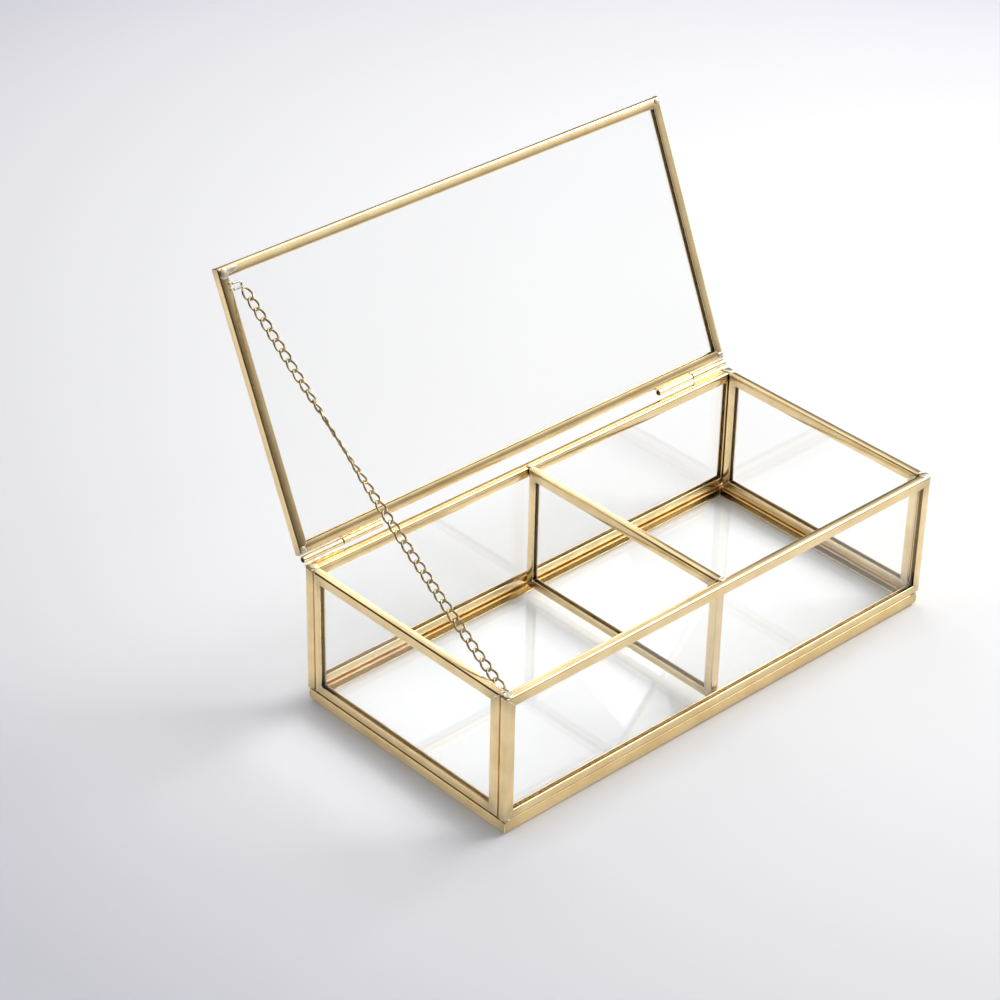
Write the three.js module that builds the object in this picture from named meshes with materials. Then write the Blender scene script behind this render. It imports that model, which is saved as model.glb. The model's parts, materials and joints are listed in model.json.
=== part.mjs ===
// Glass jewelry box with brass channel edging, a divider, a hinged glass lid and a stay chain.
// Millimetres. +X runs along the long side, +Y to the back, +Z up.
// The box is drawn with its lid open, lying back against the taut chain. It is laid out about the
// middle of its footprint, on the surface that it stands on, and the whole is then moved along Y
// so that the origin lies under the middle of the open box's outer bounds.
import * as THREE from "three";

// Overall sizes
const boxLength = 200;
const boxDepth = 99;
const boxHeight = 54;
const openAngle = 113.85;

// Panes, and the spaces that the channel leaves beside a pane's faces and behind its edges
const glassThickness = 2.4;
const glassSideGap = 0.3;
const glassInset = 0.4;

// Brass channel that edges every pane
const channelSheet = 0.4;
const channelWidth = glassThickness + 2 * (glassSideGap + channelSheet);
const flangeLength = 3.7;
const bendRadius = 0.7;
const bendSteps = 4;
const mitreGap = 0.3;

// Base tray under the walls
const baseHeight = 5;
const baseSheet = 0.5;
const baseInset = 0.6;
const baseGlassSideGap = 0.5;
const baseGlass = baseHeight - 2 * (baseGlassSideGap + baseSheet);

// Clearances between the frames
const seamGap = 0.4;
const cornerGap = 0.3;
const lidGap = 0.9;

// Divider, off the middle so that the right compartment is the larger one
const dividerCentre = -1.5;

// Hinge tubes on the back edge
const knuckleRadius = 1.2;
const knuckleWall = 0.35;
const knuckleLength = 16.8;
const knuckleGap = 0.4;
const knuckleInset = 0.5;
const knuckleSteps = 14;
const boxTubeFrom = -75;
const boxTubeTo = 215;
const lidTubeFrom = 165;
const lidTubeTo = 440;
const hingeBehindBack = 1.45;
const hingeAboveTop = 1.45;
const filletGap = 0.3;
const filletReach = 1.5;
const pinClearance = 0.1;
const pinShortfall = 2;
const pinSides = 10;

// Stay chain, and the places of its end pivots from the left rails and the front edge
const boxChainStretches = 5;
const lidChainStretches = 5;
const linksPerStretch = 4;
const chainSag = 2.4;
const linkWidth = 3.8;
const linkHole = 2.1;
const linkOverlap = 0.5;
const linkSteps = 6;
const chainThickness = 1.2;
const stretchGap = 0.9;
const lidPivotPastEye = 0.5;
const lidPivotSetback = 9;
const lidPivotDrop = 1;
const chainWallGap = 0.2;
const boxPivotSetback = 8.8;
const boxPivotDrop = 3.2;

// Wire eyes that hold the chain's ends
const eyeWireRadius = 0.4;
const eyeWireSteps = 12;
const eyeWireCurve = 4;
const eyeSideGap = 0.3;
const lidEyeReach = 3;
const lidEyeHalfSpan = 1;
const lidEyeOffset = 1.9;
const boxEyeReach = 1.9;
const boxEyeHalfSpan = 0.7;
const boxEyeOffset = 1.4;

const brassLook = { color: 0xd8b56a, roughness: 0.28, metalness: 1 };
const wireLook = { color: 0x9c8242, roughness: 0.35, metalness: 1 };
const steelLook = { color: 0xb9b2a0, roughness: 0.4, metalness: 1 };
const glassLook = { color: 0xf2f7f5, roughness: 0.03, metalness: 0 };

const radians = THREE.MathUtils.degToRad;
const wallBase = baseHeight + seamGap;
const wallHeight = boxHeight - wallBase;
const lidUnderside = boxHeight + lidGap;
const hingeAxis = new THREE.Vector3(0, boxDepth / 2 + hingeBehindBack, boxHeight + hingeAboveTop);
const leftSide = -boxLength / 2;
const frontSide = -boxDepth / 2;

function namedMesh(name, geometry, look) {
  const mesh = new THREE.Mesh(geometry, new THREE.MeshStandardMaterial(look));
  mesh.name = name;
  return mesh;
}

// U section: the web lies along inward = 0 with round outer bends, and two flanges reach inward.
function channelSection(width, sheet) {
  const half = width / 2;
  const bend = [];
  for (let step = 0; step <= bendSteps; step += 1) {
    const angle = (step / bendSteps) * (Math.PI / 2);
    bend.push([half - bendRadius * (1 - Math.sin(angle)), bendRadius * (1 - Math.cos(angle))]);
  }
  const outline = [
    ...bend.map(([across, inward]) => [-across, inward]).reverse(),
    ...bend,
    [half, flangeLength],
    [half - sheet, flangeLength],
    [half - sheet, sheet],
    [sheet - half, sheet],
    [sheet - half, flangeLength],
    [-half, flangeLength],
  ];
  return new THREE.Shape(outline.map(([across, inward]) => new THREE.Vector2(across, inward)));
}

// A channel along X with both ends cut at 45 degrees. Its web is at Y = 0 and it opens towards +Y.
function channelRail(length, width, sheet) {
  const geometry = new THREE.ExtrudeGeometry(channelSection(width, sheet), {
    depth: 1,
    bevelEnabled: false,
  });
  const position = geometry.attributes.position;
  for (let index = 0; index < position.count; index += 1) {
    const across = position.getX(index);
    const inward = position.getY(index);
    const side = 2 * position.getZ(index) - 1;
    position.setXYZ(index, side * (length / 2 - inward - mitreGap / 2), inward, -across);
  }
  return geometry;
}

// A pane with a channel on each edge, lying flat about its own centre. The edges are named in the
// order -Y, +X, +Y, -X.
function framedPane(prefix, sizeX, sizeY, edges, { width, sheet, glass }) {
  const framed = new THREE.Group();
  const covered = 2 * (sheet + glassInset);
  const pane = new THREE.BoxGeometry(sizeX - covered, sizeY - covered, glass);
  framed.add(namedMesh(`${prefix}_glass`, pane, glassLook));
  edges.forEach((edge, side) => {
    const turn = side * (Math.PI / 2);
    const alongX = side % 2 === 0;
    const geometry = channelRail(alongX ? sizeX : sizeY, width, sheet);
    const rail = namedMesh(`${prefix}_${edge}_rail`, geometry, brassLook);
    rail.rotation.z = turn;
    rail.position.set((Math.sin(turn) * sizeX) / 2, (-Math.cos(turn) * sizeY) / 2, 0);
    framed.add(rail);
  });
  return framed;
}

const wallChannel = { width: channelWidth, sheet: channelSheet, glass: glassThickness };
const baseChannel = { width: baseHeight, sheet: baseSheet, glass: baseGlass };
const flatEdges = ["front", "right", "rear", "left"];

// A wall that runs along X, with its middle plane at middleY.
function longWall(prefix, middleY) {
  const edges = ["bottom", "right", "top", "left"];
  const wall = framedPane(prefix, boxLength, wallHeight, edges, wallChannel);
  wall.rotation.x = Math.PI / 2;
  wall.position.set(0, middleY, wallBase + wallHeight / 2);
  return wall;
}

// A wall that runs along Y between the long walls, with its middle plane at middleX.
function crossWall(prefix, middleX) {
  const edges = ["bottom", "rear", "top", "front"];
  const depth = boxDepth - 2 * channelWidth - 2 * cornerGap;
  const wall = framedPane(prefix, depth, wallHeight, edges, wallChannel);
  wall.rotation.set(Math.PI / 2, 0, Math.PI / 2, "ZYX");
  wall.position.set(middleX, 0, wallBase + wallHeight / 2);
  return wall;
}

function baseTray() {
  const sizeX = boxLength - 2 * baseInset;
  const sizeY = boxDepth - 2 * baseInset;
  const tray = framedPane("base", sizeX, sizeY, flatEdges, baseChannel);
  tray.position.z = baseHeight / 2;
  return tray;
}

// Turns a section drawn in XY into one drawn in YZ and extruded along X.
function sectionAlongX(geometry) {
  const toY = new THREE.Vector3(0, 1, 0);
  const toZ = new THREE.Vector3(0, 0, 1);
  const toX = new THREE.Vector3(1, 0, 0);
  return geometry.applyMatrix4(new THREE.Matrix4().makeBasis(toY, toZ, toX));
}

// A hinge tube about the X axis. Its outside runs round from one angle to the other, and a solder
// fillet with the given corners fills the rest.
function knuckleTube(fromAngle, toAngle, filletCorners) {
  const shape = new THREE.Shape();
  for (let step = 0; step <= knuckleSteps; step += 1) {
    const angle = radians(fromAngle + ((toAngle - fromAngle) * step) / knuckleSteps);
    const point = [knuckleRadius * Math.cos(angle), knuckleRadius * Math.sin(angle)];
    if (step === 0) shape.moveTo(...point);
    else shape.lineTo(...point);
  }
  filletCorners.forEach(([across, up]) => shape.lineTo(across, up));
  shape.closePath();
  const bore = new THREE.Path();
  bore.absarc(0, 0, knuckleRadius - knuckleWall, 0, 2 * Math.PI, true);
  shape.holes.push(bore);
  const geometry = new THREE.ExtrudeGeometry(shape, {
    depth: knuckleLength,
    bevelEnabled: false,
    curveSegments: knuckleSteps,
  });
  return sectionAlongX(geometry.translate(0, 0, -knuckleLength / 2));
}

// The fixed tube, whose fillet runs down onto the back of the rear rail.
function boxKnuckle() {
  const filletTop = -hingeAboveTop - filletGap / 2;
  const corners = [
    [-hingeBehindBack, filletTop],
    [-hingeBehindBack, filletTop - filletReach],
  ];
  return knuckleTube(boxTubeFrom, boxTubeTo, corners);
}

// The moving tube, drawn with the lid shut, whose fillet runs up the back of the lid's rear rail.
function lidKnuckle() {
  const flat = filletGap - hingeBehindBack;
  const corner = [flat, knuckleRadius + filletReach / 2];
  return knuckleTube(lidTubeFrom, lidTubeTo, [corner]);
}

function hingePin() {
  const radius = knuckleRadius - knuckleWall - pinClearance;
  const length = 2 * knuckleLength + knuckleGap - 2 * pinShortfall;
  return new THREE.CylinderGeometry(radius, radius, length, pinSides).rotateZ(Math.PI / 2);
}

const sides = { left: -1, right: 1 };
const outerKnuckleX = boxLength / 2 - knuckleInset - knuckleLength / 2;
const innerKnuckleX = outerKnuckleX - knuckleLength - knuckleGap;

// The parts of both hinges that stay with the box.
function boxHinges() {
  const group = new THREE.Group();
  for (const [side, sign] of Object.entries(sides)) {
    const tube = namedMesh(`${side}_box_knuckle`, boxKnuckle(), brassLook);
    tube.position.x = sign * outerKnuckleX;
    const pin = namedMesh(`${side}_hinge_pin`, hingePin(), steelLook);
    pin.position.x = (sign * (outerKnuckleX + innerKnuckleX)) / 2;
    group.add(tube, pin);
  }
  group.position.copy(hingeAxis);
  return group;
}

// The path of a wire eye in XY: two straight legs along +X from X = 0, and a round tip.
class EyePath extends THREE.Curve {
  constructor(reach, halfSpan) {
    super();
    this.reach = reach;
    this.halfSpan = halfSpan;
  }

  getPoint(share, target = new THREE.Vector3()) {
    const leg = this.reach - this.halfSpan;
    const tip = Math.PI * this.halfSpan;
    const run = share * (2 * leg + tip) - leg;
    if (run < 0) return target.set(leg + run, -this.halfSpan, 0);
    if (run > tip) return target.set(leg + tip - run, this.halfSpan, 0);
    const angle = run / this.halfSpan;
    const across = -this.halfSpan * Math.cos(angle);
    return target.set(leg + this.halfSpan * Math.sin(angle), across, 0);
  }
}

function wireEye(name, reach, halfSpan) {
  const wire = new THREE.Shape();
  wire.absarc(0, 0, eyeWireRadius, 0, 2 * Math.PI);
  const geometry = new THREE.ExtrudeGeometry(wire, {
    extrudePath: new EyePath(reach, halfSpan),
    steps: eyeWireSteps,
    curveSegments: eyeWireCurve,
  });
  return namedMesh(name, geometry, wireLook);
}

const boxPivot = new THREE.Vector3(
  leftSide + channelWidth + chainWallGap + linkWidth / 2,
  frontSide + boxPivotSetback,
  boxHeight - boxPivotDrop,
);
const lidPivotShut = new THREE.Vector3(
  leftSide + flangeLength + eyeSideGap + lidEyeReach + lidPivotPastEye,
  frontSide + lidPivotSetback,
  lidUnderside - lidPivotDrop,
);

function boxEye() {
  const eye = wireEye("box_chain_eye", boxEyeReach, boxEyeHalfSpan);
  eye.position.set(leftSide + channelWidth + eyeSideGap, boxPivot.y - boxEyeOffset, boxPivot.z);
  return eye;
}

function lidEye() {
  const eye = wireEye("lid_chain_eye", lidEyeReach, lidEyeHalfSpan);
  eye.position.set(leftSide + flangeLength + eyeSideGap, lidPivotShut.y - lidEyeOffset, lidPivotShut.z);
  return eye;
}

// The lid and all that moves with it, drawn shut and then turned open about the hinge axis.
function openLid() {
  const shut = new THREE.Group();
  const lid = framedPane("lid", boxLength, boxDepth, flatEdges, wallChannel);
  lid.position.z = lidUnderside + channelWidth / 2;
  shut.add(lid, lidEye());
  for (const [side, sign] of Object.entries(sides)) {
    const tube = namedMesh(`${side}_lid_knuckle`, lidKnuckle(), brassLook);
    tube.position.set(sign * innerKnuckleX, hingeAxis.y, hingeAxis.z);
    shut.add(tube);
  }
  shut.position.copy(hingeAxis).negate();
  const lidTurn = new THREE.Group();
  lidTurn.add(shut);
  lidTurn.rotation.x = -radians(openAngle);
  lidTurn.position.copy(hingeAxis);
  return lidTurn;
}

// One stretch of chain along X: oval links in a row, joined where they overlap, each with its hole.
function chainStretch(length) {
  const pitch = (length - linkOverlap) / linksPerStretch;
  const halfLong = (pitch + linkOverlap) / 2;
  const halfWide = linkWidth / 2;
  const waist = Math.acos(pitch / (pitch + linkOverlap));
  const lastLink = linksPerStretch - 1;
  const nearSide = [];
  const holes = [];
  for (let link = 0; link <= lastLink; link += 1) {
    const centre = pitch * (link - lastLink / 2);
    const from = link === 0 ? Math.PI : Math.PI + waist;
    const to = link === lastLink ? 2 * Math.PI : 2 * Math.PI - waist;
    for (let step = 0; step < linkSteps; step += 1) {
      const angle = from + ((to - from) * step) / linkSteps;
      nearSide.push([centre + halfLong * Math.cos(angle), halfWide * Math.sin(angle)]);
    }
    holes.push(new THREE.Path().absarc(centre, 0, linkHole / 2, 0, 2 * Math.PI, true));
  }
  const farSide = nearSide.map(([along, across]) => [-along, -across]);
  const outline = [...nearSide, ...farSide];
  const shape = new THREE.Shape(outline.map(([along, across]) => new THREE.Vector2(along, across)));
  shape.holes.push(...holes);
  const geometry = new THREE.ExtrudeGeometry(shape, {
    depth: chainThickness,
    bevelEnabled: false,
    curveSegments: linkSteps,
  });
  return geometry.translate(0, 0, -chainThickness / 2);
}

// The nearly taut chain: its first stretches are counted up from the box, the rest down from the lid.
function stayChain() {
  const lidPivot = lidPivotShut.clone().sub(hingeAxis);
  lidPivot.applyAxisAngle(new THREE.Vector3(1, 0, 0), -radians(openAngle)).add(hingeAxis);
  const stretches = boxChainStretches + lidChainStretches;
  const pivotAt = (index) => {
    const share = index / stretches;
    const point = boxPivot.clone().lerp(lidPivot, share);
    point.z -= 4 * chainSag * share * (1 - share);
    return point;
  };
  const chain = new THREE.Group();
  for (let index = 0; index < stretches; index += 1) {
    const from = pivotAt(index);
    const to = pivotAt(index + 1);
    const along = to.clone().sub(from).normalize();
    const normal = new THREE.Vector3(1, 0, 0).cross(along).normalize();
    const across = normal.clone().cross(along);
    const onBox = index < boxChainStretches;
    const name = onBox ? `box_chain_${index + 1}` : `lid_chain_${stretches - index}`;
    const length = from.distanceTo(to) - stretchGap;
    const stretch = namedMesh(name, chainStretch(length), wireLook);
    stretch.quaternion.setFromRotationMatrix(new THREE.Matrix4().makeBasis(along, across, normal));
    stretch.position.copy(from).lerp(to, 0.5);
    chain.add(stretch);
  }
  return chain;
}

const wallMiddleY = (boxDepth - channelWidth) / 2;
const endMiddleX = (boxLength - channelWidth) / 2;

const jewelryBox = new THREE.Group();
jewelryBox.add(
  baseTray(),
  longWall("front_panel", -wallMiddleY),
  longWall("back_panel", wallMiddleY),
  crossWall("left_panel", -endMiddleX),
  crossWall("right_panel", endMiddleX),
  crossWall("divider", dividerCentre),
  boxHinges(),
  boxEye(),
  openLid(),
  stayChain(),
);

const bounds = new THREE.Box3().setFromObject(jewelryBox, true);
jewelryBox.position.y = -(bounds.min.y + bounds.max.y) / 2;

export default jewelryBox;
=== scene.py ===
"""Looks of a glass jewelry box edged in brass channel: rolled channels, solder, hinge tubes, curb chain.

Metres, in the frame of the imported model. New pieces are surfaces worked out with numpy.
"""

import json

import bpy
import numpy as np
from mathutils import Euler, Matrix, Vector


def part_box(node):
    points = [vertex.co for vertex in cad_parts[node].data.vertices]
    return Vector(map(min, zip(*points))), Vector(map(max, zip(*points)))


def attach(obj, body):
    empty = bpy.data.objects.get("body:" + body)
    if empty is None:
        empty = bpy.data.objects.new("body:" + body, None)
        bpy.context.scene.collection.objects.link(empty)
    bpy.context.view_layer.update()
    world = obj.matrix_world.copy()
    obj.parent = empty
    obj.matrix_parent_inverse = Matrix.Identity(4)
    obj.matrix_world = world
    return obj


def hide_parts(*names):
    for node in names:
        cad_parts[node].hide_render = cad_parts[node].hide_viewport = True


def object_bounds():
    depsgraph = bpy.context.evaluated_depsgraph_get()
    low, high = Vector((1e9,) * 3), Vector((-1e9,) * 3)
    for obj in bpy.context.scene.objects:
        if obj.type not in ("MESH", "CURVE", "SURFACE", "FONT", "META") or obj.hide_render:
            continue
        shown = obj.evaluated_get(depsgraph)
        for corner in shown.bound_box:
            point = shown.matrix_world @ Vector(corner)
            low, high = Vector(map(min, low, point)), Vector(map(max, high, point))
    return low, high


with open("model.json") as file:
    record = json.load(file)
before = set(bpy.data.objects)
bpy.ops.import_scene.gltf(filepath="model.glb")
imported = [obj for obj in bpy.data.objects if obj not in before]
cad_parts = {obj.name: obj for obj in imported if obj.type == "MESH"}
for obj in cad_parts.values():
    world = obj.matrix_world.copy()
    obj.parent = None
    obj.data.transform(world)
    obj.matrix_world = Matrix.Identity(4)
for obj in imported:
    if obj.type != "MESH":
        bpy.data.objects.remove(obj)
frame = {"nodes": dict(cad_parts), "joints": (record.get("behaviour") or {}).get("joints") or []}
cad_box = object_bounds()

MM = 0.001

# Camera: angles in degrees
LENS_MM = 111.62
CAMERA_PLACE = (-0.6305, -0.6358, 0.6241)
CAMERA_TILT, CAMERA_ROLL, CAMERA_HEADING = 56.605, -1.372, -42.99
CAMERA_SHIFT = (-0.04, 0.04)

# Brass channel: lengths in metres, crowns and pinch in degrees
SHEET = 0.4 * MM
BASE_SHEET = 0.5 * MM
BEND = 0.65 * MM
BEND_STEPS = 8
WEB_STEPS = 4
FLANGE_STEPS = 7
TIP_STEPS = 4
RAIL_STATIONS = 28
WEB_CROWN = 12
FLANGE_CROWN = 14
FLANGE_PINCH = 8
ROLLING_WAVE = 0.018 * MM
WAVE_TURNS = (230, 610)
JOINT_BURN_REACH = 6 * MM

# Solder: places and half sizes of the drops
SEAM_HALF = 0.18 * MM
SEAM_INSET = 0.06 * MM
SEAM_SWELL = 1.02
CORNER_DROP_INSET = 2.0 * MM
CORNER_DROP = np.array([1.7, 1.7, 0.35]) * MM
DIVIDER_DROP_INSET = 3.1 * MM
DIVIDER_DROP = np.array([1.3, 1.0, 0.3]) * MM
FOOT_DROP_INSET = 1.8 * MM
FOOT_DROP_HEIGHT = 5.2 * MM
FOOT_DROP = np.array([1.5, 1.5, 0.5]) * MM
LID_HOLD_INSET = 1.6 * MM
LID_HOLD_DROP = np.array([1.9, 1.7, 0.3]) * MM
LID_DROP_INSET = 0.9 * MM
LID_DROP = np.array([1.2, 1.2, 0.22]) * MM
LID_SPILL_INSET = (4.2 * MM, 1.0 * MM)
LID_SPILL = np.array([3.0, 1.2, 0.25]) * MM
DROP_ROWS, DROP_COLUMNS = 9, 14

# Stay chain: its turn in degrees, the end link's in radians
LINKS_PER_STRETCH = 4
LINK_WIRE = 0.76 * MM
LINK_WIDTH = 3.9 * MM
LINK_TWIST = 0.3 * MM
LINK_STEPS = 30
WIRE_SIDES = 9
CHAIN_TURN = 60
CHAIN_TURN_PLACE = 0.64
CHAIN_TURN_SPREAD = 0.11
CHAIN_HOLD = np.array([1.5, 3.6, 0.05]) * MM
CHAIN_HOLD_DROP = np.array([1.4, 1.4, 0.42]) * MM
END_LINK_TURN = 0.3

# Wire eyes
EYE_WIRE = 0.42 * MM
EYE_FOOT = 0.4 * MM
EYE_TIP_STEPS = 15
EYE_LEG_STEPS = 5
EYE_SIDES = 10

# Hinge tubes and their fillets: angles in radians
TUBE_RADIUS = 1.2 * MM
TUBE_WALL = 0.35 * MM
TUBE_RIM = 0.12 * MM
TUBE_COLUMNS = 36
TUBE_STATIONS = 12
TUBE_SEAM_ANGLE = 4.4
TUBE_SEAM_SPREAD = 0.10
TUBE_SEAM_DEPTH = 0.10 * MM
FILLET_ROWS, FILLET_COLUMNS = 17, 12
FILLET_HEIGHT = {"box": -1.9 * MM, "lid": 1.1 * MM}
FILLET_OUT = 0.25 * MM
FILLET_HALF_DEPTH = 0.55 * MM
FILLET_HALF_HEIGHT = 0.95 * MM

# Brass, cast metal and glass
LINES_ALONG, LINES_AROUND = 90, 9000
LINE_DEPTH = 0.00002
BRASS_CLOUD_SCALE = 120.0
GLASS_HAZE_SCALE = 45.0
GLASS_HAZE = 0.035
GRAIN_FINER = 6

# Studio
EVEN_LIGHT = 0.5
BACKDROP_WHITE = 0.95
MIRROR_BRIGHTENS = (0.5, -0.2, 0.6)
FLOOR_HALF = 6.0
FLOOR_DROP = 0.0002
# Painted pool of light on the floor: its centre, its front-to-back squeeze, and the distances over which
# its painted light falls off
PAINTED_LIGHT_POOL_CENTRE = (0.17, 0.05)
PAINTED_LIGHT_POOL_SQUEEZE = 0.8
PAINTED_LIGHT_FALLOFF_RANGE = (0.1, 0.42)
WHITE_MIRROR_RANGE = (0.2, 0.5)

FRAMES = {
    "front_panel": ("bottom", "right", "top", "left"),
    "back_panel": ("bottom", "right", "top", "left"),
    "left_panel": ("bottom", "rear", "top", "front"),
    "right_panel": ("bottom", "rear", "top", "front"),
    "divider": ("bottom", "rear", "top", "front"),
    "base": ("front", "right", "rear", "left"),
    "lid": ("front", "right", "rear", "left"),
}

joints = {joint["name"]: joint for joint in frame["joints"]}
hinge_place = np.array(joints["lid_hinge"]["pos_m"])
open_angle = np.radians(joints["lid_hinge"]["range_deg"][1])


def turn_about_hinge(points, angle):
    """Points turned about the X axis through the lid's hinge: a plane rotation of Y and Z."""
    cos, sin = np.cos(angle), np.sin(angle)
    turn = np.array([[1, 0, 0], [0, cos, -sin], [0, sin, cos]])
    return (np.asarray(points) - hinge_place) @ turn.T + hinge_place


def body_of_frame(prefix):
    return "lid" if prefix == "lid" else "box"


def shut_box(node, body):
    """Lowest and highest corner of a CAD node with the lid shut."""
    mesh = frame["nodes"][node].data
    points = np.empty(3 * len(mesh.vertices))
    mesh.vertices.foreach_get("co", points)
    points = points.reshape(-1, 3)
    if body == "lid":
        points = turn_about_hinge(points, open_angle)
    return points.min(axis=0), points.max(axis=0)


def placed(points, body):
    """Points drawn with the lid shut, put where the body is at rest."""
    return turn_about_hinge(points, -open_angle) if body == "lid" else points


# ---------------------------------------------------------------- mesh tools


def grid_faces(rows, columns, close_rows=False, close_columns=False):
    """Quads of a rows by columns grid of points, wrapped round where it is closed."""
    row = np.arange(rows if close_rows else rows - 1)[:, None]
    column = np.arange(columns if close_columns else columns - 1)[None, :]
    next_row, next_column = (row + 1) % rows, (column + 1) % columns
    corners = [
        row * columns + column,
        row * columns + next_column,
        next_row * columns + next_column,
        next_row * columns + column,
    ]
    return np.stack([np.broadcast_to(c, corners[1].shape) for c in corners], axis=-1).reshape(-1, 4)


def fan(centre, starts, ends):
    """Triangles from one point to each start and end, as quads with the last corner doubled."""
    return np.stack([np.full(len(starts), centre), starts, ends, ends], axis=1)


def signed_volume(points, faces):
    """Volume inside a closed mesh of quads, negative if its faces look inwards."""
    a, b, c, d = (points[faces[:, k]] for k in range(4))
    first = np.einsum("ij,ij->i", a, np.cross(b, c))
    second = np.einsum("ij,ij->i", a, np.cross(c, d))
    return (first.sum() + second.sum()) / 6


def solid(points, faces):
    """The same quads, turned round if they look inwards."""
    return (points, faces if signed_volume(points, faces) > 0 else faces[:, ::-1])


def make_piece(name, solids, material, body, replaces=(), values=None, sharp=38):
    """A smooth mesh object from closed (points, faces) solids, riding on a CAD body."""
    points = np.vstack([p for p, _ in solids])
    starts = np.cumsum([0] + [len(p) for p, _ in solids[:-1]])
    faces = [face for (_, f), start in zip(solids, starts) for face in (f + start).tolist()]
    mesh = bpy.data.meshes.new(name)
    mesh.from_pydata(points.tolist(), [], [tuple(dict.fromkeys(face)) for face in faces])
    mesh.validate()
    for key, data in (values or {}).items():
        layer = mesh.attributes.new(key, "FLOAT", "POINT")
        layer.data.foreach_set("value", np.asarray(data, dtype=np.float32))
    mesh.polygons.foreach_set("use_smooth", np.ones(len(mesh.polygons), dtype=bool))
    mesh.set_sharp_from_angle(angle=np.radians(sharp))
    mesh.materials.append(material)
    mesh.update()
    piece = bpy.data.objects.new(name, mesh)
    bpy.context.scene.collection.objects.link(piece)
    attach(piece, body)
    if replaces:
        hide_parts(*replaces)


# ---------------------------------------------------------------- materials


class Nodes:
    """A short way to write a node tree."""

    def __init__(self, tree):
        self.tree = tree
        tree.nodes.clear()

    def add(self, kind, links=None, **settings):
        node = self.tree.nodes.new(kind)
        for key, value in settings.items():
            setattr(node, key, value)
        for key, value in (links or {}).items():
            if isinstance(value, bpy.types.NodeSocket):
                self.tree.links.new(value, node.inputs[key])
            else:
                node.inputs[key].default_value = value
        return node

    def math(self, operation, first, second=0.0):
        return self.add("ShaderNodeMath", {0: first, 1: second}, operation=operation).outputs[0]

    def noise(self, place, scale, detail):
        links = {"Vector": place, "Scale": scale, "Detail": detail}
        return self.add("ShaderNodeTexNoise", links).outputs["Fac"]

    def spread(self, value, source, target=(0.0, 1.0)):
        links = {"Value": value, "From Min": source[0], "From Max": source[1]}
        links.update({"To Min": target[0], "To Max": target[1]})
        return self.add("ShaderNodeMapRange", links).outputs[0]

    def bump(self, height, strength, distance):
        links = {"Height": height, "Strength": strength, "Distance": distance}
        return self.add("ShaderNodeBump", links).outputs[0]

    def ramp(self, value, stops):
        node = self.add("ShaderNodeValToRGB", {"Fac": value})
        elements = node.color_ramp.elements
        while len(elements) < len(stops):
            elements.new(0.5)
        for element, (place, colour) in zip(elements, stops):
            element.position = place
            element.color = (*colour, 1) if len(colour) == 3 else colour
        return node.outputs["Color"]

    def mix(self, share, first, second, blend="MIX"):
        node = self.add("ShaderNodeMix", data_type="RGBA", blend_type=blend)
        for socket, value in ((0, share), (6, first), (7, second)):
            if isinstance(value, bpy.types.NodeSocket):
                self.tree.links.new(value, node.inputs[socket])
            else:
                node.inputs[socket].default_value = value
        return node.outputs[2]


def new_material(name):
    material = bpy.data.materials.new(name)
    material.use_nodes = True
    return material, Nodes(material.node_tree)


def grey(value):
    return (value, value, value)


def drawn_brass(name, light, dark, roughness, end_dark=0.0):
    """Brass sheet drawn through a die: fine lines along it, cloudy tarnish, darker by the joints."""
    material, nodes = new_material(name)
    place = nodes.add("ShaderNodeTexCoord").outputs["Object"]
    along = nodes.add("ShaderNodeAttribute", attribute_name="along").outputs["Fac"]
    around = nodes.add("ShaderNodeAttribute", attribute_name="around").outputs["Fac"]
    end = nodes.add("ShaderNodeAttribute", attribute_name="end").outputs["Fac"]
    strand = nodes.add("ShaderNodeCombineXYZ", {"X": along, "Y": around}).outputs[0]
    stretch = (LINES_ALONG, LINES_AROUND, 0)
    lines = nodes.add("ShaderNodeVectorMath", {0: strand, 1: stretch}, operation="MULTIPLY").outputs[0]
    line_noise = nodes.noise(lines, 1.0, 3.0)
    cloud = nodes.noise(place, BRASS_CLOUD_SCALE, 4.0)
    patches = nodes.ramp(cloud, [(0.38, grey(0)), (0.72, grey(1))])
    colour = nodes.mix(patches, (*light, 1), (*dark, 1))
    fine = nodes.ramp(line_noise, [(0.3, grey(0.9)), (0.7, grey(1))])
    colour = nodes.mix(1.0, colour, fine, "MULTIPLY")
    burn = nodes.ramp(end, [(0.0, grey(1 - end_dark)), (1.0, grey(1))])
    colour = nodes.mix(1.0, colour, burn, "MULTIPLY")
    gloss = nodes.spread(line_noise, (0.3, 0.7), (roughness * 0.8, roughness * 1.3))
    bump = nodes.bump(line_noise, 0.12, LINE_DEPTH)
    shader = nodes.add(
        "ShaderNodeBsdfPrincipled",
        {"Base Color": colour, "Metallic": 1.0, "Roughness": gloss, "Normal": bump},
    )
    nodes.add("ShaderNodeOutputMaterial", {"Surface": shader.outputs[0]})
    return material


def cast_metal(name, light, dark, roughness, scale, bump_depth):
    """Metal with a cloudy surface: wire, solder and tube, light where clean and dark where tarnished."""
    material, nodes = new_material(name)
    place = nodes.add("ShaderNodeTexCoord").outputs["Object"]
    cloud = nodes.noise(place, scale, 5.0)
    grain = nodes.noise(place, scale * GRAIN_FINER, 2.0)
    patches = nodes.ramp(cloud, [(0.35, grey(0)), (0.68, grey(1))])
    colour = nodes.mix(patches, (*light, 1), (*dark, 1))
    gloss = nodes.spread(cloud, (0.3, 0.7), (roughness * 0.75, roughness * 1.35))
    bump = nodes.bump(grain, 0.3, bump_depth)
    shader = nodes.add(
        "ShaderNodeBsdfPrincipled",
        {"Base Color": colour, "Metallic": 1.0, "Roughness": gloss, "Normal": bump},
    )
    nodes.add("ShaderNodeOutputMaterial", {"Surface": shader.outputs[0]})
    return material


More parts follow.
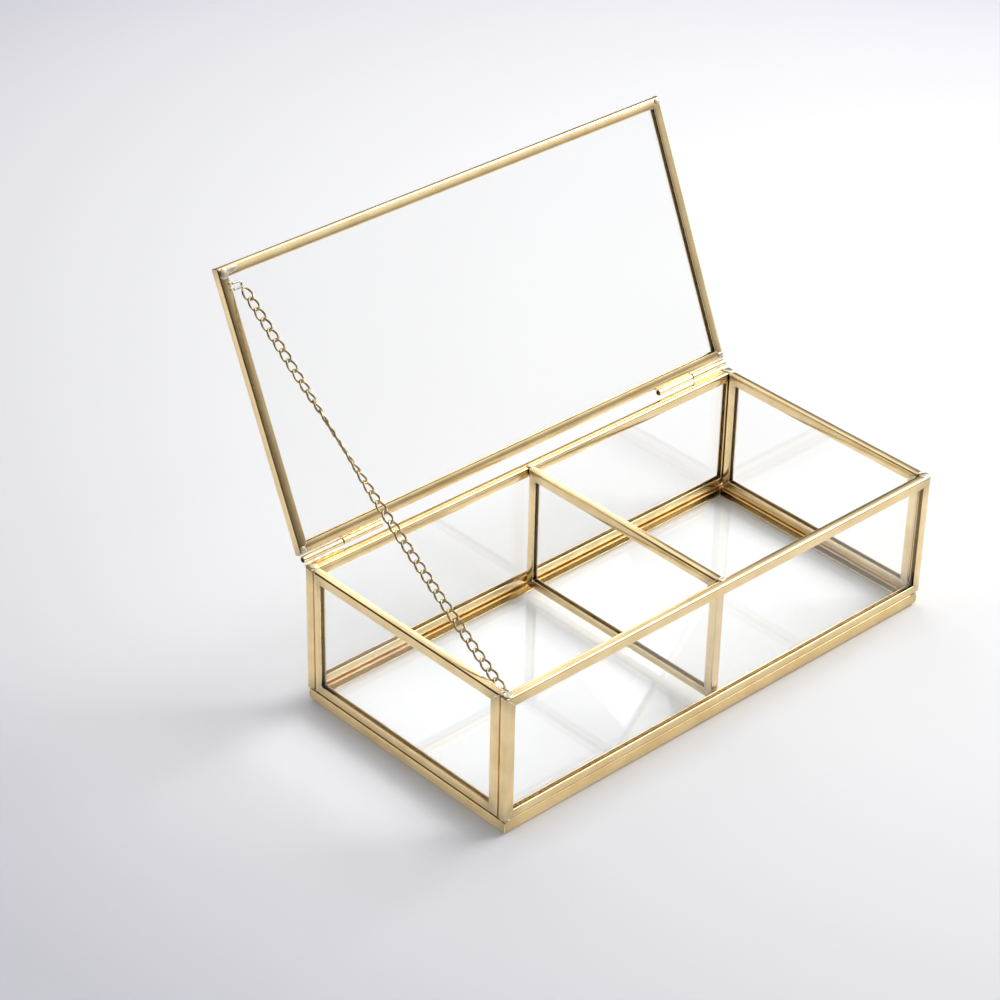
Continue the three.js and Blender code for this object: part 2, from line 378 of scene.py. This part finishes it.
def clear_glass(name, tint):
    """Float glass with a wiped haze, which lets the lamps' light through to what it covers."""
    material, nodes = new_material(name)
    place = nodes.add("ShaderNodeTexCoord").outputs["Object"]
    haze = nodes.noise(place, GLASS_HAZE_SCALE, 4.0)
    gloss = nodes.spread(haze, (0.4, 0.75), (0.0, GLASS_HAZE))
    glass = nodes.add(
        "ShaderNodeBsdfPrincipled",
        {"Base Color": (*tint, 1), "Roughness": gloss, "IOR": 1.5, "Transmission Weight": 1.0},
    )
    clear = nodes.add("ShaderNodeBsdfTransparent", {"Color": (*tint, 1)})
    shadow = nodes.add("ShaderNodeLightPath").outputs["Is Shadow Ray"]
    mixed = nodes.add("ShaderNodeMixShader", {0: shadow, 1: glass.outputs[0], 2: clear.outputs[0]})
    nodes.add("ShaderNodeOutputMaterial", {"Surface": mixed.outputs[0]})
    return material


channel_brass = drawn_brass("channel_brass", (0.94, 0.74, 0.42), (0.84, 0.63, 0.33), 0.17, 0.3)
base_brass = drawn_brass("base_channel_brass", (0.93, 0.72, 0.38), (0.82, 0.60, 0.29), 0.17, 0.3)
chain_brass = cast_metal("aged_chain_brass", (0.58, 0.46, 0.26), (0.20, 0.15, 0.08), 0.22, 900.0, 0.00004)
tube_brass = cast_metal("hinge_tube_brass", (0.95, 0.82, 0.55), (0.78, 0.62, 0.36), 0.18, 400.0, 0.00003)
pin_steel = cast_metal("tinned_pin", (0.55, 0.52, 0.46), (0.25, 0.22, 0.18), 0.4, 500.0, 0.00003)
solder = cast_metal("soft_solder", (0.80, 0.74, 0.62), (0.50, 0.42, 0.28), 0.3, 700.0, 0.00009)
eye_tin = cast_metal("tinned_eye_wire", (0.80, 0.78, 0.72), (0.50, 0.46, 0.38), 0.3, 600.0, 0.00004)
pane_glass = clear_glass("clear_pane_glass", (0.987, 0.989, 0.986))
floor_glass = clear_glass("base_pane_glass", (0.972, 0.975, 0.972))


# ---------------------------------------------------------------- brass channels


def channel_outline(width, reach, sheet):
    """U section of bent sheet as (outer, inner) rows of (across, inward).

    The middle line is drawn by its turning: the angle it faces grows evenly from the flange's edge
    to the bend, quickly round the bend, and evenly again to the web's middle, where it is a right
    angle. Its points are the running sums of the sine and cosine of that angle, stretched to the
    channel's width and depth. The two faces lie half a sheet to either side of it.
    """
    half, depth = width / 2 - sheet / 2, reach - sheet
    bend = BEND * np.radians(90 - 2 * WEB_CROWN)
    lengths = [depth - BEND, bend, half - 0.7 * BEND]
    counts = [FLANGE_STEPS, BEND_STEPS, WEB_STEPS]
    turns = [-FLANGE_PINCH, FLANGE_CROWN, 90 - WEB_CROWN, 90]
    step = np.concatenate([np.full(n, run / n) for run, n in zip(lengths, counts)])
    spans = zip(turns, turns[1:], counts)
    facing = np.concatenate([start + (end - start) * (np.arange(n) + 0.5) / n for start, end, n in spans])
    facing = np.radians(facing)
    across = np.r_[0, np.cumsum(step * np.sin(facing))]
    inward = np.r_[0, np.cumsum(step * np.cos(facing))]
    across -= across[-1]
    across *= half / -across.min()
    inward = sheet / 2 + depth * (inward[-1] - inward) / inward[-1]
    middle = np.stack([across, inward], axis=1)
    edge = np.r_[facing[0], (facing[1:] + facing[:-1]) / 2, np.pi / 2]
    normal = np.stack([-np.cos(edge), -np.sin(edge)], axis=1)
    mirror = np.array([-1, 1])
    middle = np.vstack([middle, middle[-2::-1] * mirror])
    normal = np.vstack([normal, normal[-2::-1] * mirror])
    return middle + normal * sheet / 2, middle - normal * sheet / 2


def closed_outline(outer, inner):
    """One ring from the two faces, with a half round over each flange's edge."""
    turn = np.linspace(0, np.pi, TIP_STEPS + 2)[1:-1]

    def tip(start, end):
        middle, arm = (start + end) / 2, (start - end) / 2
        out = np.array([0, np.hypot(*arm)])
        return middle + np.cos(turn)[:, None] * arm + np.sin(turn)[:, None] * out

    return np.vstack([outer, tip(outer[-1], inner[-1]), inner[::-1], tip(inner[0], outer[0])])


def rail_axes(prefix, edge, body):
    """Where a rail lies with the lid shut: corner boxes, and its along, inward and across axes."""
    low, high = shut_box(f"{prefix}_{edge}_rail", body)
    glass_low, glass_high = shut_box(f"{prefix}_glass", body)
    size, middle = high - low, (low + high) / 2
    towards = (glass_low + glass_high) / 2 - middle
    along = int(np.argmax(size))
    towards[along] = 0
    inward = int(np.argmax(np.abs(towards)))
    across = 3 - along - inward
    return low, high, along, inward, across, float(np.sign(towards[inward]))


def channel(prefix, edge):
    """A channel: its closed outline carried along the rail, and cut back at both ends by its own depth.

    A slow and a quick sine of the length sink the faces a little, and fade out at the ends.
    """
    body = body_of_frame(prefix)
    sheet = BASE_SHEET if prefix == "base" else SHEET
    low, high, along, inward, across, sign = rail_axes(prefix, edge, body)
    size, middle = high - low, (low + high) / 2
    ring = closed_outline(*channel_outline(size[across], size[inward], sheet))
    share = np.linspace(-1, 1, RAIL_STATIONS)[:, None]
    half = size[along] / 2 - ring[None, :, 1]
    length = share * half
    phase = 7.0 * sum(map(ord, prefix + edge))
    slow, quick = WAVE_TURNS
    wave = ROLLING_WAVE * (np.sin(length * slow + phase) + 0.6 * np.sin(length * quick + 2 * phase))
    rise = np.clip(1 - np.abs(share) ** 6, 0, 1) * wave
    points = np.zeros((RAIL_STATIONS, len(ring), 3))
    points[..., along] = middle[along] + length
    points[..., across] = middle[across] + ring[None, :, 0] * (1 - np.abs(rise) / size[across])
    start = low[inward] if sign > 0 else high[inward]
    points[..., inward] = start + sign * (ring[None, :, 1] + np.abs(rise))
    flat = points.reshape(-1, 3)
    faces = grid_faces(RAIL_STATIONS, len(ring), close_columns=True)
    count = len(ring)
    near, far = cap_faces(count), cap_faces(count) + (RAIL_STATIONS - 1) * count
    shape = solid(placed(flat, body), np.vstack([faces, near[:, ::-1], far]))
    around = np.broadcast_to(np.cumsum(np.r_[0, np.hypot(*np.diff(ring, axis=0).T)]), length.shape)
    end = np.clip((half - np.abs(length)) / JOINT_BURN_REACH, 0, 1)
    values = {"along": length.ravel(), "around": around.ravel(), "end": end.ravel()}
    material = base_brass if prefix == "base" else channel_brass
    node = f"{prefix}_{edge}_rail"
    make_piece(f"{prefix}_{edge}_channel", [shape], material, body, (node,), values)


def cap_faces(count):
    """Quads across the end of a closed outline, between its outer and inner face."""
    face = (count - 2 * TIP_STEPS) // 2
    outer = np.arange(face)
    inner = 2 * face + TIP_STEPS - 1 - outer
    strip = np.stack([outer[:-1], outer[1:], inner[1:], inner[:-1]], axis=1)
    last = face - 1
    round_one = last + 1 + np.arange(TIP_STEPS)
    back = 2 * face + TIP_STEPS
    round_two = np.r_[back + np.arange(TIP_STEPS), 0]
    tips = fan(last, round_one, round_one + 1), fan(back - 1, round_two[:-1], round_two[1:])
    return np.vstack([strip, *tips])


def solder_seams(prefix):
    """The solder in a frame's four mitres: a thin slab with the channel's outline, in the mitre's plane.

    Its middle swells a little past the outline, and what would pass the model's box is pressed flat.
    """
    body = body_of_frame(prefix)
    sheet = BASE_SHEET if prefix == "base" else SHEET
    seams = []
    edges = FRAMES[prefix]
    for edge, following in zip(edges, edges[1:] + edges[:1]):
        low, high, along, inward, across, sign = rail_axes(prefix, edge, body)
        other = rail_axes(prefix, following, body)
        size, middle = high - low, (low + high) / 2
        ring = closed_outline(*channel_outline(size[across], size[inward], sheet))
        corner = middle.copy()
        corner[inward] = low[inward] if sign > 0 else high[inward]
        corner[along] = other[0][other[3]] if other[5] > 0 else other[1][other[3]]
        step = np.zeros(3)
        step[inward], step[along] = sign, other[5]
        across_axis = np.eye(3)[across]
        slab = np.cross(step, across_axis) / np.sqrt(2)
        depth = ring[:, 1] + SEAM_INSET
        rows = [
            corner + depth[:, None] * step + ring[:, :1] * across_axis * swell + slab * shift
            for shift, swell in ((-SEAM_HALF, 1.0), (0, SEAM_SWELL), (SEAM_HALF, 1.0))
        ]
        count = len(ring)
        faces = grid_faces(3, count, close_columns=True)
        near, far = cap_faces(count), cap_faces(count) + 2 * count
        points = np.clip(placed(np.vstack(rows), body), *cad_box)
        seams.append(solid(points, np.vstack([faces, near[:, ::-1], far])))
    make_piece(f"{prefix}_solder_seams", seams, solder, body)


def blob(centre, radii, seed, body):
    """A drop of solder: an ellipsoid of two angles, its radius swollen by slow waves of both."""
    rows, columns = DROP_ROWS, DROP_COLUMNS
    polar = np.linspace(0, np.pi, rows + 2)[1:-1, None]
    turn = np.linspace(0, 2 * np.pi, columns, endpoint=False)[None, :]
    swell = 1 + 0.10 * np.sin(2 * turn + seed) * np.sin(polar)
    swell = swell + 0.07 * np.cos(3 * turn - seed + 2 * polar)
    parts = [np.sin(polar) * np.cos(turn), np.sin(polar) * np.sin(turn), np.cos(polar) + 0 * turn]
    unit = np.stack(parts, axis=-1)
    points = (unit * swell[..., None]).reshape(-1, 3)
    points = np.vstack([points, [0, 0, 1], [0, 0, -1]]) * radii + centre
    top, bottom = rows * columns, rows * columns + 1
    column = np.arange(columns)
    following = (column + 1) % columns
    base = (rows - 1) * columns
    upper = fan(top, column, following)
    lower = fan(bottom, base + following, base + column)
    faces = np.vstack([grid_faces(rows, columns, close_columns=True)[:, ::-1], upper, lower])
    return solid(placed(points, body), faces)


def solder_drops():
    """Solder drops on the frames' corners, at the divider's ends and where the chain is held."""
    front_low, front_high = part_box("front_panel_top_rail")
    left, right, front, top = front_low[0], front_high[0], front_low[1], front_high[2]
    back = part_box("back_panel_top_rail")[1][1]
    divider_low, divider_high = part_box("divider_top_rail")
    divider = (divider_low[0] + divider_high[0]) / 2
    inset = CORNER_DROP_INSET
    corners = [(x, y) for y in (front + inset, back - inset) for x in (left + inset, right - inset)]
    ends = [(divider, front + DIVIDER_DROP_INSET), (divider, back - DIVIDER_DROP_INSET)]
    feet = [(x, front + FOOT_DROP_INSET) for x in (left + FOOT_DROP_INSET, right - FOOT_DROP_INSET)]
    drops = [blob(np.array([x, y, top]), CORNER_DROP, 1.3 * k, "box") for k, (x, y) in enumerate(corners)]
    drops += [blob(np.array([x, y, top]), DIVIDER_DROP, 2.1 + k, "box") for k, (x, y) in enumerate(ends)]
    for index, (x, y) in enumerate(feet):
        drops.append(blob(np.array([x, y, FOOT_DROP_HEIGHT]), FOOT_DROP, 3.3 + index, "box"))
    make_piece("box_solder_drops", drops, solder, "box")
    low, high = shut_box("lid_glass", "lid")
    under = shut_box("lid_front_rail", "lid")[0][2]
    inset = LID_DROP_INSET
    lid_corners = [
        (low[0] + LID_HOLD_INSET, low[1] + LID_HOLD_INSET),
        (high[0] - inset, low[1] + inset),
        (low[0] + inset, high[1] - inset),
        (high[0] - inset, high[1] - inset),
    ]
    lid_sizes = [LID_HOLD_DROP, LID_DROP, LID_DROP, LID_DROP]
    lid_drops = []
    for index, ((x, y), size) in enumerate(zip(lid_corners, lid_sizes)):
        lid_drops.append(blob(np.array([x, y, under]), size, 4.7 + index, "lid"))
    spill = np.array([low[0] + LID_SPILL_INSET[0], low[1] + LID_SPILL_INSET[1], under])
    lid_drops.append(blob(spill, LID_SPILL, 1.9, "lid"))
    make_piece("lid_solder_drops", lid_drops, solder, "lid")


# ---------------------------------------------------------------- chain


def swept_wire(path, radius, sides, closed):
    """A round wire carried along a path, with a frame turned as little as the path allows."""
    path = np.asarray(path)
    if closed:
        tangent = np.roll(path, -1, axis=0) - np.roll(path, 1, axis=0)
    else:
        tangent = np.gradient(path, axis=0)
    tangent /= np.linalg.norm(tangent, axis=1, keepdims=True)
    guide = np.linalg.svd(path - path.mean(axis=0))[2][2]
    side = np.cross(tangent, guide)
    side /= np.linalg.norm(side, axis=1, keepdims=True)
    rise = np.cross(side, tangent)
    angle = np.linspace(0, 2 * np.pi, sides, endpoint=False)
    ring = np.cos(angle)[None, :, None] * side[:, None] + np.sin(angle)[None, :, None] * rise[:, None]
    points = (path[:, None] + radius * ring).reshape(-1, 3)
    faces = grid_faces(len(path), sides, close_rows=closed, close_columns=True)
    if not closed:
        points = np.vstack([points, path[0], path[-1]])
        start, end = len(points) - 2, len(points) - 1
        index = np.arange(sides)
        following = (index + 1) % sides
        last = (len(path) - 1) * sides
        near = fan(start, following, index)
        far = fan(end, last + index, last + following)
        faces = np.vstack([faces[:, ::-1], near[:, ::-1], far[:, ::-1]])
    return solid(points, faces)


def curb_link(centre, along, across, normal, pitch):
    """One curb link: an oval in the chain's plane, lifted by the sine of twice its angle so that
    neighbours pass over and under each other."""
    angle = np.linspace(0, 2 * np.pi, LINK_STEPS, endpoint=False)[:, None]
    long_half = (pitch + LINK_WIRE) / 2
    wide_half = (LINK_WIDTH - LINK_WIRE) / 2
    path = (
        centre
        + long_half * np.cos(angle) * along
        + wide_half * np.sin(angle) * across
        + LINK_TWIST * np.sin(2 * angle) * normal
    )
    return swept_wire(path, LINK_WIRE / 2, WIRE_SIDES, closed=True)


def chain_axes(along, turn):
    """The chain's across and normal axes, turned about the chain by the given angle."""
    normal = np.cross([1, 0, 0], along)
    normal /= np.linalg.norm(normal)
    across = np.cross(normal, along)
    cos, sin = np.cos(turn), np.sin(turn)
    return cos * across + sin * normal, cos * normal - sin * across


def chain_pivots():
    """The pivots from the box up to the lid, from the joints' places.

    The chain's open middle has no joint. It lies as far past the last box stretch's middle as that
    stretch's own pivot lies before it.
    """
    up = [joint["pos_m"] for joint in frame["joints"] if joint["name"].startswith("box_chain")]
    down = [joint["pos_m"] for joint in frame["joints"] if joint["name"].startswith("lid_chain")]
    box_half, lid_half = np.array(up), np.array(down)[::-1]
    middle = np.add(*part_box(f"box_chain_{len(up)}")) - box_half[-1]
    return np.vstack([box_half, middle, lid_half]), len(up)


def stay_chain():
    """Curb links set end to end between the pivots, a fixed end link and the solder that holds it.

    The links turn about the chain by an angle that is a bell curve of the chain's length.
    """
    pivots, on_box = chain_pivots()
    stretches = len(pivots) - 1
    for index in range(stretches):
        start, end = pivots[index], pivots[index + 1]
        along = (end - start) / np.linalg.norm(end - start)
        pitch = np.linalg.norm(end - start) / LINKS_PER_STRETCH
        links = []
        for link in range(LINKS_PER_STRETCH):
            share = (index + (link + 0.5) / LINKS_PER_STRETCH) / stretches
            bell = np.exp(-(((share - CHAIN_TURN_PLACE) / CHAIN_TURN_SPREAD) ** 2))
            across, normal = chain_axes(along, np.radians(CHAIN_TURN * bell))
            links.append(curb_link(start + along * pitch * (link + 0.5), along, across, normal, pitch))
        node = f"box_chain_{index + 1}" if index < on_box else f"lid_chain_{stretches - index}"
        make_piece(f"{node}_links", links, chain_brass, node, (node,), sharp=80)
    corner_low, corner_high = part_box("front_panel_top_rail")
    hold = np.array([*corner_low[:2], corner_high[2]]) + CHAIN_HOLD
    reach = pivots[0] - hold
    along = reach / np.linalg.norm(reach)
    across, normal = chain_axes(along, END_LINK_TURN)
    link = curb_link((hold + pivots[0]) / 2, along, across, normal, np.linalg.norm(reach))
    drop = blob(hold, CHAIN_HOLD_DROP, 0.7, "box")
    make_piece("chain_end_link", [link], chain_brass, "box", sharp=80)
    make_piece("chain_end_solder", [drop], solder, "box")


def wire_eye(node, body):
    """A staple of tinned wire: two straight legs and a half round tip, in the plane of the CAD eye."""
    low, high = shut_box(node, body)
    half = (high[1] - low[1]) / 2 - EYE_WIRE
    middle_y, middle_z = (low[1] + high[1]) / 2, (low[2] + high[2]) / 2
    turn = np.linspace(-np.pi / 2, np.pi / 2, EYE_TIP_STEPS)
    tip_x = high[0] - EYE_WIRE - half
    foot = low[0] - EYE_FOOT
    level = np.full(EYE_TIP_STEPS, middle_z)
    tip = np.stack([tip_x + half * np.cos(turn), middle_y + half * np.sin(turn), level], axis=1)
    legs = np.linspace(foot, tip_x, EYE_LEG_STEPS, endpoint=False)
    side, level = np.full(EYE_LEG_STEPS, middle_y - half), np.full(EYE_LEG_STEPS, middle_z)
    first = np.stack([legs, side, level], axis=1)
    last = first[::-1] * [1, 0, 1] + [0, middle_y + half, 0]
    path = placed(np.vstack([first, tip, last]), body)
    shape = swept_wire(path, EYE_WIRE, EYE_SIDES, closed=False)
    make_piece(f"{node}_wire", [shape], eye_tin, body, (node,), sharp=60)


# ---------------------------------------------------------------- hinges


def hinge_tube(node, body):
    """A rolled tube about the hinge axis, and the solder that holds it to its rail.

    Outer and bore circles are carried along X with rounded rims. A bell curve of the angle dents the
    outer one where the sheet's edges meet.
    """
    low, high = shut_box(node, body)
    radius = high[2] - hinge_place[2] if body == "box" else hinge_place[2] - low[2]
    radius = min(radius, TUBE_RADIUS)
    bore, rim = radius - TUBE_WALL, TUBE_RIM
    angle = np.linspace(0, 2 * np.pi, TUBE_COLUMNS, endpoint=False)
    stations = np.linspace(low[0] + rim, high[0] - rim, TUBE_STATIONS)[1:-1]
    outline = np.array(
        [
            (low[0] + rim, bore),
            (low[0], bore + rim),
            (low[0], radius - rim),
            (low[0] + rim, radius),
            *[(x, radius) for x in stations],
            (high[0] - rim, radius),
            (high[0], radius - rim),
            (high[0], bore + rim),
            (high[0] - rim, bore),
        ]
    )
    seam = np.exp(-((angle - TUBE_SEAM_ANGLE) / TUBE_SEAM_SPREAD) ** 2)
    out = outline[:, 1:] - TUBE_SEAM_DEPTH * seam[None, :] * (outline[:, 1:] > bore + rim)
    points = np.stack(
        [
            np.broadcast_to(outline[:, :1], out.shape),
            hinge_place[1] + out * np.cos(angle),
            hinge_place[2] + out * np.sin(angle),
        ],
        axis=-1,
    ).reshape(-1, 3)
    faces = grid_faces(len(outline), TUBE_COLUMNS, close_rows=True, close_columns=True)
    tube = solid(placed(points, body), faces)
    shapes = [tube, hinge_fillet(low, high, body)]
    make_piece(f"{node}_tube", shapes, tube_brass, body, (node,))


def hinge_fillet(low, high, body):
    """Solder between tube and rail: a lens along X whose depth follows the sine of its length."""
    rows, columns = FILLET_ROWS, FILLET_COLUMNS
    share = np.linspace(0.02, 0.98, rows)[:, None]
    angle = np.linspace(0, 2 * np.pi, columns, endpoint=False)[None, :]
    rail = "back_panel_top_rail" if body == "box" else "lid_rear_rail"
    rail_y = shut_box(rail, body)[1][1]
    centre_z = hinge_place[2] + FILLET_HEIGHT[body]
    swell = 0.75 + 0.25 * np.sin(np.pi * share) + 0.06 * np.sin(29 * share)
    x = low[0] + share * (high[0] - low[0]) + 0 * angle
    y = rail_y + FILLET_OUT + FILLET_HALF_DEPTH * swell * np.cos(angle)
    z = centre_z + FILLET_HALF_HEIGHT * swell * np.sin(angle)
    points = np.stack([x, y, z], axis=-1).reshape(-1, 3)
    points = np.vstack([points, points[:columns].mean(axis=0), points[-columns:].mean(axis=0)])
    start, end = rows * columns, rows * columns + 1
    index = np.arange(columns)
    following = (index + 1) % columns
    last = (rows - 1) * columns
    near, far = fan(start, following, index), fan(end, last + index, last + following)
    sides = grid_faces(rows, columns, close_columns=True)
    faces = np.vstack([sides[:, ::-1], near[:, ::-1], far[:, ::-1]])
    return solid(placed(points, body), faces)


# ---------------------------------------------------------------- studio


def make_camera():
    data = bpy.data.cameras.new("studio_camera")
    data.lens = LENS_MM
    data.sensor_width = 36
    data.shift_x, data.shift_y = CAMERA_SHIFT
    data.clip_start, data.clip_end = 0.05, 30
    camera = bpy.data.objects.new("studio_camera", data)
    camera.location = CAMERA_PLACE
    camera.rotation_euler = Euler(np.radians([CAMERA_TILT, CAMERA_ROLL, CAMERA_HEADING]))
    bpy.context.scene.collection.objects.link(camera)
    bpy.context.scene.camera = camera


def area_light(name, place, aim, size, power, colour=(1, 1, 1)):
    data = bpy.data.lights.new(name, "AREA")
    data.shape = "RECTANGLE"
    data.size, data.size_y = size
    data.energy = power
    data.color = colour
    light = bpy.data.objects.new(name, data)
    light.location = place
    direction = np.asarray(aim) - np.asarray(place)
    light.rotation_euler = Vector(direction).to_track_quat("-Z", "Y").to_euler()
    bpy.context.scene.collection.objects.link(light)


def make_world():
    """Even soft light. What metal mirrors brightens towards the right, the front and above."""
    world = bpy.data.worlds.new("studio")
    bpy.context.scene.world = world
    world.use_nodes = True
    nodes = Nodes(world.node_tree)
    direction = nodes.add("ShaderNodeTexCoord").outputs["Generated"]
    facing = {0: direction, 1: MIRROR_BRIGHTENS}
    towards = nodes.add("ShaderNodeVectorMath", facing, operation="DOT_PRODUCT")
    stops = [
        (0.0, (0.05, 0.042, 0.032)),
        (0.3, (0.10, 0.088, 0.07)),
        (0.46, (0.22, 0.21, 0.19)),
        (0.53, (0.45, 0.44, 0.42)),
        (0.66, (1.0, 1.0, 1.0)),
    ]
    mirrored = nodes.ramp(towards.outputs["Value"], stops)
    path = nodes.add("ShaderNodeLightPath")
    seen = nodes.math("MAXIMUM", path.outputs["Is Camera Ray"], path.outputs["Is Transmission Ray"])
    even = nodes.add("ShaderNodeBackground", {"Color": (0.97, 0.975, 1.0, 1), "Strength": EVEN_LIGHT})
    glossy = nodes.add("ShaderNodeBackground", {"Color": mirrored, "Strength": 1.0})
    white = nodes.add("ShaderNodeBackground", {"Color": (1, 1, 1, 1), "Strength": BACKDROP_WHITE})
    shares = {0: path.outputs["Is Glossy Ray"], 1: even.outputs[0], 2: glossy.outputs[0]}
    first = nodes.add("ShaderNodeMixShader", shares)
    last = nodes.add("ShaderNodeMixShader", {0: seen, 1: first.outputs[0], 2: white.outputs[0]})
    nodes.add("ShaderNodeOutputWorld", {"Surface": last.outputs[0]})


def make_floor():
    """A wide pale sheet with a painted pool of light: white beside and behind the box, then painted light
    falloff to lilac grey away from it.

    The painted light is a ramp of the distance from the pool's centre, which is a little longer front to
    back.
    Far from the box, metal and glass mirror it as plain white.
    """
    size = FLOOR_HALF
    mesh = bpy.data.meshes.new("floor")
    corners = [(-size, -size, 0), (size, -size, 0), (size, size, 0), (-size, size, 0)]
    mesh.from_pydata(corners, [], [(0, 1, 2, 3)])
    floor = bpy.data.objects.new("floor", mesh)
    bpy.context.scene.collection.objects.link(floor)
    floor.location.z = -FLOOR_DROP
    material, nodes = new_material("paper_with_painted_light_pool")
    place = nodes.add("ShaderNodeTexCoord").outputs["Object"]
    split = nodes.add("ShaderNodeSeparateXYZ", {0: place})
    aside = nodes.math("SUBTRACT", split.outputs["X"], PAINTED_LIGHT_POOL_CENTRE[0])
    behind = nodes.math("SUBTRACT", split.outputs["Y"], PAINTED_LIGHT_POOL_CENTRE[1])
    behind = nodes.math("MULTIPLY", behind, PAINTED_LIGHT_POOL_SQUEEZE)
    aside_squared = nodes.math("MULTIPLY", aside, aside)
    behind_squared = nodes.math("MULTIPLY", behind, behind)
    distance = nodes.math("SQRT", nodes.math("ADD", aside_squared, behind_squared))
    # Painted light falloff: the floor's colour darkens to lilac grey with distance from the painted
    # pool's centre
    shade = nodes.spread(distance, PAINTED_LIGHT_FALLOFF_RANGE)
    stops = [
        (0.0, (0.97, 0.97, 0.97)),
        (0.3, (0.93, 0.93, 0.935)),
        (0.55, (0.87, 0.87, 0.89)),
        (0.8, (0.79, 0.785, 0.825)),
        (1.0, (0.69, 0.685, 0.73)),
    ]
    colour = nodes.ramp(shade, stops)
    looks = {"Base Color": colour, "Roughness": 0.9, "Specular IOR Level": 0.1}
    paper = nodes.add("ShaderNodeBsdfPrincipled", looks)
    mirrored = nodes.add("ShaderNodeEmission", {"Color": (1, 1, 1, 1), "Strength": BACKDROP_WHITE})
    far = nodes.spread(distance, WHITE_MIRROR_RANGE)
    glossy = nodes.add("ShaderNodeLightPath").outputs["Is Glossy Ray"]
    share = nodes.math("MULTIPLY", glossy, far)
    shader = nodes.add("ShaderNodeMixShader", {0: share, 1: paper.outputs[0], 2: mirrored.outputs[0]})
    nodes.add("ShaderNodeOutputMaterial", {"Surface": shader.outputs[0]})
    mesh.materials.append(material)


make_camera()
make_world()
make_floor()
area_light("key", (1.25, -0.35, 1.05), (0, 0, 0.05), (1.1, 1.1), 19)
area_light("back_fill", (0.5, 1.3, 1.5), (0, 0, 0.05), (1.6, 1.6), 6.5)

for prefix, edges in FRAMES.items():
    for edge in edges:
        channel(prefix, edge)
    solder_seams(prefix)
    pane = frame["nodes"][f"{prefix}_glass"]
    pane.data.materials.clear()
    pane.data.materials.append(floor_glass if prefix == "base" else pane_glass)
solder_drops()
stay_chain()
wire_eye("box_chain_eye", "box")
wire_eye("lid_chain_eye", "lid")
for side in ("left", "right"):
    hinge_tube(f"{side}_box_knuckle", "box")
    hinge_tube(f"{side}_lid_knuckle", "lid")
    pin = frame["nodes"][f"{side}_hinge_pin"]
    pin.data.materials.clear()
    pin.data.materials.append(pin_steel)

bpy.context.scene.view_settings.view_transform = "Standard"
